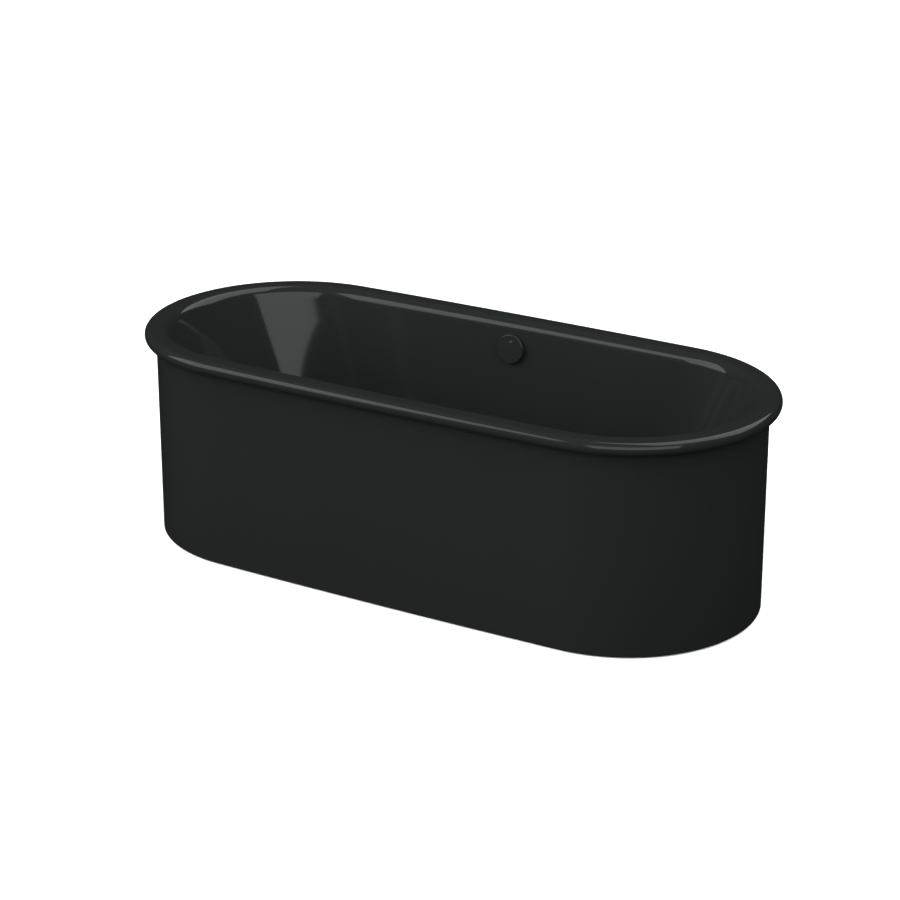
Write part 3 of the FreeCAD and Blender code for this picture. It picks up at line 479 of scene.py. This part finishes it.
knob_behind = knob_front - knob_crown - knob_wall
crown_radius = (knob_radius**2 + knob_crown**2) / (2 * knob_crown)
face_edge = knob_radius - knob_edge
cap = crown(face_edge, crown_radius, knob_front)
cap += arc((face_edge, cap[-1][1] - knob_edge), knob_edge, knob_edge_start, 0, knob_edge_steps)
cap += [(knob_radius, knob_back), (knob_radius - knob_wall, knob_back)]
cap += [(knob_radius - knob_wall, knob_behind), (knob_hub, knob_behind)]
cap += [(knob_hub, knob_back), (spindle_radius, knob_back)]
cap += [(spindle_radius, knob_front - knob_wall), (0.0, knob_front - knob_wall)]
knob = start_mesh("knob_cap")
turned(cap, round_steps)
leave_edit(knob, angle=knob_smooth_angle)

# %% [markdown]
# ## The knob's dimple
# A small oval dimple near the edge shows which way the knob is turned and gives a finger some hold. It is a
# large ball that barely dips into the face, squeezed to make the dent oval. The ball needs many segments,
# because only a tiny patch of it is left on the knob. The finished knob is then moved into the overflow's
# frame, on its mesh, so that the object itself stays at the origin.

# %% Dimple
dimple_offset = 0.026
dimple_length = 0.021
dimple_depth = 0.0012
dimple_squeeze = 0.62
ball_segments = 192
ball_rings = 256
dimple_radius = (dimple_length**2 / 4 + dimple_depth**2) / (2 * dimple_depth)
dimple_face = knob_front - crown_radius + math.sqrt(crown_radius**2 - dimple_offset**2)
bpy.ops.object.select_all(action="DESELECT")
bpy.ops.mesh.primitive_uv_sphere_add(segments=ball_segments, ring_count=ball_rings, radius=dimple_radius)
ball = bpy.context.active_object
ball.scale = (1, dimple_squeeze, 1)
ball.location = (0, dimple_offset, dimple_face + dimple_radius - dimple_depth)
dent = knob.modifiers.new("dent", "BOOLEAN")
dent.operation = "DIFFERENCE"
dent.solver = "EXACT"
dent.object = ball
apply_modifiers(knob)
bpy.data.objects.remove(ball)
knob.data.transform(overflow_frame)
bpy.ops.object.shade_smooth_by_angle(angle=math.radians(knob_smooth_angle))
print("knob", len(knob.data.polygons), "faces")

# %% [markdown]
# ## The plug
# The plug's cap covers the waste and rises when the knob turns. It is domed like the knob and turned in the
# same way, with a low lip under its edge and a small hub for its stem. Its radius and height come from the
# CAD piece that it replaces.

# %% Plug
plug_crown = 0.0035
plug_round = 0.0018
plug_lip = 0.003
plug_recess = 0.0012
plug_hub = 0.009
plug_edge_start = 78
plug_edge_steps = 7
plug_low, plug_high = (corner.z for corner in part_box("plug_cover"))
plug_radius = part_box("plug_cover")[1].x
plug_crown_radius = (plug_radius**2 + plug_crown**2) / (2 * plug_crown)
face_edge = plug_radius - plug_round
cap = crown(face_edge, plug_crown_radius, plug_high)
cap += arc((face_edge, cap[-1][1] - plug_round), plug_round, plug_edge_start, 0, plug_edge_steps)
cap += [(plug_radius, plug_low), (plug_radius - plug_lip, plug_low)]
cap += [(plug_radius - plug_lip, plug_low + plug_recess), (plug_hub, plug_low + plug_recess)]
cap += [(plug_hub, plug_low), (0.0, plug_low)]
plug = start_mesh("plug_cap")
turned(cap, round_steps)
leave_edit(plug)

# %% [markdown]
# ## Unevenness that every finish shares
# No real surface is the same all over: enamel ripples slightly as it runs in the kiln, and rubber, plastic
# and steel vary in tone. Painting that by hand would take image textures. Noise on the object's own
# coordinates is enough, and it stays put when a piece moves. One node group makes three things from two
# noises: a slow mask to blend colours, an uneven roughness, and a fine height for bumps.

# %% The shared unevenness
coarse_detail = 4.0
fine_detail = 2.0
middle_of_noise = 0.5


def make_unevenness():
    """Group: two scales of noise on object coordinates, as Mask, Roughness and Height."""
    group = bpy.data.node_groups.new("Unevenness", "ShaderNodeTree")
    face = group.interface
    for name, default in (("Coarse Scale", 6.0), ("Fine Scale", 300.0), ("Roughness", 0.4), ("Spread", 0.1)):
        socket = face.new_socket(name, in_out="INPUT", socket_type="NodeSocketFloat")
        socket.default_value = default
    for name in ("Mask", "Roughness", "Height"):
        face.new_socket(name, in_out="OUTPUT", socket_type="NodeSocketFloat")
    put = group.nodes.new
    link = group.links.new
    inputs = put("NodeGroupInput")
    outputs = put("NodeGroupOutput")
    place = put("ShaderNodeTexCoord")
    coarse = put("ShaderNodeTexNoise")
    coarse.inputs["Detail"].default_value = coarse_detail
    fine = put("ShaderNodeTexNoise")
    fine.inputs["Detail"].default_value = fine_detail
    link(place.outputs["Object"], coarse.inputs["Vector"])
    link(place.outputs["Object"], fine.inputs["Vector"])
    link(inputs.outputs["Coarse Scale"], coarse.inputs["Scale"])
    link(inputs.outputs["Fine Scale"], fine.inputs["Scale"])
    centred = put("ShaderNodeMath")
    centred.operation = "SUBTRACT"
    centred.inputs[1].default_value = middle_of_noise
    link(coarse.outputs["Fac"], centred.inputs[0])
    varied = put("ShaderNodeMath")
    varied.operation = "MULTIPLY_ADD"
    link(centred.outputs[0], varied.inputs[0])
    link(inputs.outputs["Spread"], varied.inputs[1])
    link(inputs.outputs["Roughness"], varied.inputs[2])
    link(coarse.outputs["Fac"], outputs.inputs["Mask"])
    link(varied.outputs[0], outputs.inputs["Roughness"])
    link(fine.outputs["Fac"], outputs.inputs["Height"])
    return group


unevenness = make_unevenness()
print("group", unevenness.name, "with", len(unevenness.nodes), "nodes")

# %% [markdown]
# ## One recipe for a finish
# Each finish is the same small tree with other numbers: two close colours blended by the mask, an uneven
# roughness and fine bumps. The Principled shader stays in the material, where its other sockets can still
# be set, and only the noise is shared.

# %% A finish
finishes = {}


def make_finish(
    name, colour, other, roughness, spread=0.1, metallic=0.0, coarse=6.0, fine=300.0, bump=0.05, reach=0.0002
):
    """A Principled finish whose colour wanders between two, with uneven roughness and fine bumps."""
    material = bpy.data.materials.new(name)
    material.use_nodes = True
    tree = material.node_tree
    put = tree.nodes.new
    link = tree.links.new
    shader = tree.nodes["Principled BSDF"]
    group = put("ShaderNodeGroup")
    group.node_tree = unevenness
    group.inputs["Coarse Scale"].default_value = coarse
    group.inputs["Fine Scale"].default_value = fine
    group.inputs["Roughness"].default_value = roughness
    group.inputs["Spread"].default_value = spread
    blend = put("ShaderNodeMix")
    blend.data_type = "RGBA"
    blend.inputs["A"].default_value = (*colour, 1)
    blend.inputs["B"].default_value = (*other, 1)
    link(group.outputs["Mask"], blend.inputs["Factor"])
    link(blend.outputs["Result"], shader.inputs["Base Color"])
    link(group.outputs["Roughness"], shader.inputs["Roughness"])
    bumps = put("ShaderNodeBump")
    bumps.inputs["Strength"].default_value = bump
    bumps.inputs["Distance"].default_value = reach
    link(group.outputs["Height"], bumps.inputs["Height"])
    link(bumps.outputs["Normal"], shader.inputs["Normal"])
    shader.inputs["Metallic"].default_value = metallic
    return material


# %% [markdown]
# ## Enamel
# Black enamel is a thin layer of glass on steel. Its colour hardly shows; what shows is the room in it. So
# the base is nearly black with a trace of green, the roughness is low, and the bumps are only a hint of the
# ripple of fired glass. The knob and the plug are painted to match and are a touch less smooth.

# %% Enamel
enamel_dark = (0.0093, 0.0107, 0.0100)
enamel_light = (0.0107, 0.0120, 0.0113)
enamel_roughness = 0.09
trim_roughness = 0.11
enamel = make_finish(
    "enamel", enamel_dark, enamel_light, enamel_roughness, spread=0.02, coarse=3.0, fine=90.0, bump=0.01
)
trim = make_finish(
    "trim_enamel", enamel_dark, enamel_light, trim_roughness, spread=0.03, coarse=20.0, bump=0.01
)
finishes["bath_enamel"] = enamel
finishes["skirt_enamel"] = enamel
finishes["black_trim"] = trim
print("enamel roughness", enamel_roughness, "trim", trim_roughness)

# %% [markdown]
# ## Rubber and plastic
# Under the bath nothing is polished. The damping mats are bitumen, with a coarse, dull skin. The seals are
# soft black rubber, the drain is off-white plastic, and the hose, clips, cable and feet are other moulded
# plastics. All are rough, so their colours matter more than what they reflect.

# %% Rubber and plastic
finishes["mat_rubber"] = make_finish(
    "bitumen_mat", (0.03, 0.03, 0.032), (0.055, 0.055, 0.057), 0.85, coarse=30.0, bump=0.5, reach=0.0006
)
# Name, colour, second colour, roughness and coarse scale.
moulded = (
    ("seal_rubber", (0.018, 0.018, 0.018), (0.03, 0.03, 0.03), 0.7, 40.0),
    ("drain_plastic", (0.72, 0.72, 0.70), (0.80, 0.80, 0.785), 0.45, 25.0),
    ("hose_plastic", (0.50, 0.51, 0.52), (0.60, 0.61, 0.62), 0.5, 25.0),
    ("clip_plastic", (0.06, 0.06, 0.065), (0.09, 0.09, 0.095), 0.5, 40.0),
    ("cable_jacket", (0.02, 0.02, 0.02), (0.035, 0.035, 0.035), 0.35, 40.0),
    ("foot_plastic", (0.03, 0.03, 0.03), (0.05, 0.05, 0.05), 0.6, 40.0),
)
for name, colour, other, roughness, coarse in moulded:
    finishes[name] = make_finish(name, colour, other, roughness, coarse=coarse)
print(len(moulded), "moulded finishes")

# %% [markdown]
# ## Metals
# A metal has no colour of its own under its shine: the shine itself is tinted, which is what Metallic does.
# The frame is zinc-plated and blotchy, so its roughness spreads more. Turned brass and steel pins are
# smoother, and the dark metal is plated black, so it is only partly metallic.

# %% Metals
# Slot, name, colour, second colour, roughness, its spread, metallic and coarse scale.
metals = (
    ("dark_metal", "dark_metal", (0.02, 0.02, 0.021), (0.03, 0.03, 0.031), 0.35, 0.1, 0.6, 40.0),
    ("brass", "turned_brass", (0.70, 0.50, 0.22), (0.80, 0.62, 0.33), 0.3, 0.1, 1.0, 60.0),
    ("steel_pin", "steel_pin", (0.55, 0.55, 0.56), (0.66, 0.66, 0.67), 0.28, 0.1, 1.0, 60.0),
    ("zinc_steel", "zinc_steel", (0.48, 0.50, 0.53), (0.66, 0.67, 0.68), 0.4, 0.2, 1.0, 35.0),
    ("fastener_steel", "fastener_steel", (0.55, 0.56, 0.58), (0.7, 0.7, 0.71), 0.35, 0.15, 1.0, 60.0),
)
for slot_name, name, colour, other, roughness, spread, metallic, coarse in metals:
    finishes[slot_name] = make_finish(name, colour, other, roughness, spread, metallic, coarse)
print(len(metals), "metals")

# %% [markdown]
# ## Dressing the CAD pieces
# Each CAD piece says in its record which material slot it belongs to. Looking the finish up by that slot,
# and not piece by piece, means that like pieces always match.

# %% Dressing


def dress(obj, slot_name):
    """Gives a piece one finish."""
    obj.data.materials.clear()
    obj.data.materials.append(finishes[slot_name])


slot_of = {entry["node"]: entry["material_slot"] for entry in frame["record"]["subparts"]}
for name, node in nodes.items():
    dress(node, slot_of[name])
print(len(finishes), "finishes on", len(nodes), "CAD pieces")

# %% [markdown]
# ## Putting the new pieces in place of the CAD ones
# A new piece has to do what the old one did: hide it, wear its material, and move with the same body. The
# bath and the skirt belong to the fixed body, the knob turns and the plug lifts.

# %% Each new piece goes with its body
for piece, node_name, body in (
    (bath, "bath_shell", "bath"),
    (skirt, "skirt", "bath"),
    (knob, "overflow_knob", "knob"),
    (plug, "plug_cover", "plug"),
):
    dress(piece, slot_of[node_name])
    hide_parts(node_name)
    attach(piece, body)
    print(piece.name, "replaces", node_name)

# %% [markdown]
# ## The floor
# A product picture stands on white paper. Away from the bath the floor is lit until it is almost as white as
# the backdrop behind it, so hardly any horizon shows. Gloss black would mirror the floor as a bright
# band all round its foot, and paper that close would light its sides from below. Both rays are switched
# off for the floor, as a studio would do with black cards.

# %% Floor
floor_size = 14
bpy.ops.object.select_all(action="DESELECT")
bpy.ops.mesh.primitive_plane_add(size=floor_size, location=(0, 0, 0))
floor = bpy.context.active_object
floor.name = "studio_floor"
paper = make_finish("studio_paper", (0.90, 0.90, 0.90), (0.93, 0.93, 0.93), 0.9, coarse=1.0)
floor.data.materials.append(paper)
floor.visible_glossy = False
floor.visible_diffuse = False
print("floor", floor_size, "m across")

# %% [markdown]
# ## The room
# What the camera sees behind the floor should be white, but what the bath reflects should be nearly black,
# or the enamel would look grey. One world can't be both, so a Light Path node asks what kind of ray is
# looking and picks one of two backgrounds.

# %% World
room_grey = 0.01
backdrop_strength = 1.05
world = bpy.data.worlds.new("studio")
bpy.context.scene.world = world
world.use_nodes = True
tree = world.node_tree
room = tree.nodes["Background"]
room.inputs["Color"].default_value = (room_grey, room_grey, room_grey, 1)
backdrop = tree.nodes.new("ShaderNodeBackground")
backdrop.inputs["Color"].default_value = (1, 1, 1, 1)
backdrop.inputs["Strength"].default_value = backdrop_strength
rays = tree.nodes.new("ShaderNodeLightPath")
choose = tree.nodes.new("ShaderNodeMixShader")
tree.links.new(rays.outputs["Is Camera Ray"], choose.inputs["Fac"])
tree.links.new(room.outputs["Background"], choose.inputs[1])
tree.links.new(backdrop.outputs["Background"], choose.inputs[2])
tree.links.new(choose.outputs["Shader"], tree.nodes["World Output"].inputs["Surface"])
print("room", room_grey, "backdrop", backdrop_strength)

# %% [markdown]
# ## Softboxes
# Gloss needs two kinds of light. Three large boxes are seen only as reflections: they draw the bright lines
# along the rim and the patch in the basin. The fills do the opposite. They give the enamel and the floor
# their even tone but never show in the gloss. Keeping the two apart lets each be set without spoiling the
# other. A box is given by where it stands and how many degrees it spans, seen from the bath. The boxes
# stand far off, so that their reflections keep the same shape all along it.

# %% Softboxes
light_distance = 20.0
light_target = Vector((0, 0, 0.4))


def softbox(name, azimuth, elevation, across, tall, radiance, reflected):
    """A box that spans so many degrees, seen from the bath. Azimuth 0 is in front and 90 on the right."""
    a, e = math.radians(azimuth), math.radians(elevation)
    away = Vector((math.sin(a) * math.cos(e), -math.cos(a) * math.cos(e), math.sin(e)))
    lamp = bpy.data.lights.new(name, "AREA")
    lamp.shape = "RECTANGLE"
    lamp.size = 2 * light_distance * math.tan(math.radians(across) / 2)
    lamp.size_y = 2 * light_distance * math.tan(math.radians(tall) / 2)
    lamp.energy = radiance * math.pi * lamp.size * lamp.size_y
    obj = bpy.data.objects.new(name, lamp)
    obj.location = light_target + away * light_distance
    obj.rotation_euler = away.to_track_quat("Z", "Y").to_euler()
    obj.visible_glossy = reflected
    obj.visible_diffuse = not reflected
    bpy.context.scene.collection.objects.link(obj)
    print(name, round(lamp.size, 1), "x", round(lamp.size_y, 1), "m")
    return obj


# %% [markdown]
# ## Where the boxes stand
# The front right box is the one that the basin's left end mirrors to the camera, and the front left and
# back right boxes light the bead and the inner edge. The fills come mostly from the left and front, which
# leaves the right end of the skirt a little darker and shows that it is round. The numbers below were fitted
# by a scratch program and then rounded.

# %% Lights
softbox("reflection_front_left", -53, 31, 44, 39, radiance=1.45, reflected=True)
softbox("reflection_front_right", 35, 28, 61, 38, radiance=1.16, reflected=True)
softbox("reflection_back_right", 147, 56, 53, 57, radiance=1.35, reflected=True)
softbox("fill_left", -55, 31, 44, 44, radiance=6.5, reflected=False)
softbox("fill_low_left", -30, 15, 50, 50, radiance=3.5, reflected=False)
softbox("fill_high", 15, 45, 50, 50, radiance=2.2, reflected=False)
softbox("fill_low_right", 45, 10, 50, 50, radiance=3.3, reflected=False)
softbox("fill_right", 100, 45, 50, 50, radiance=4.0, reflected=False)
softbox("fill_back", 180, 50, 50, 50, radiance=2.7, reflected=False)

# %% [markdown]
# ## The camera
# The picture is taken from the front right and a little above, from some way off with a long lens, which
# keeps the long sides nearly parallel. Its place, its aim and its lens were fitted by a scratch program too.
# The Standard view transform keeps white paper white and black enamel black, where a filmic one would grey
# both.

# %% Camera
camera_data = bpy.data.cameras.new("camera")
camera_data.lens = 103.3
camera_data.sensor_width = 36.0
camera = bpy.data.objects.new("camera", camera_data)
bpy.context.scene.collection.objects.link(camera)
aim = Vector((0, -0.0102, 0.2968))
camera.location = (3.0749, -5.1519, 2.6270)
camera.rotation_euler = (camera.location - aim).to_track_quat("Z", "Y").to_euler()
bpy.context.scene.camera = camera
bpy.context.scene.view_settings.view_transform = "Standard"
print("camera", round((camera.location - aim).length, 2), "m away")
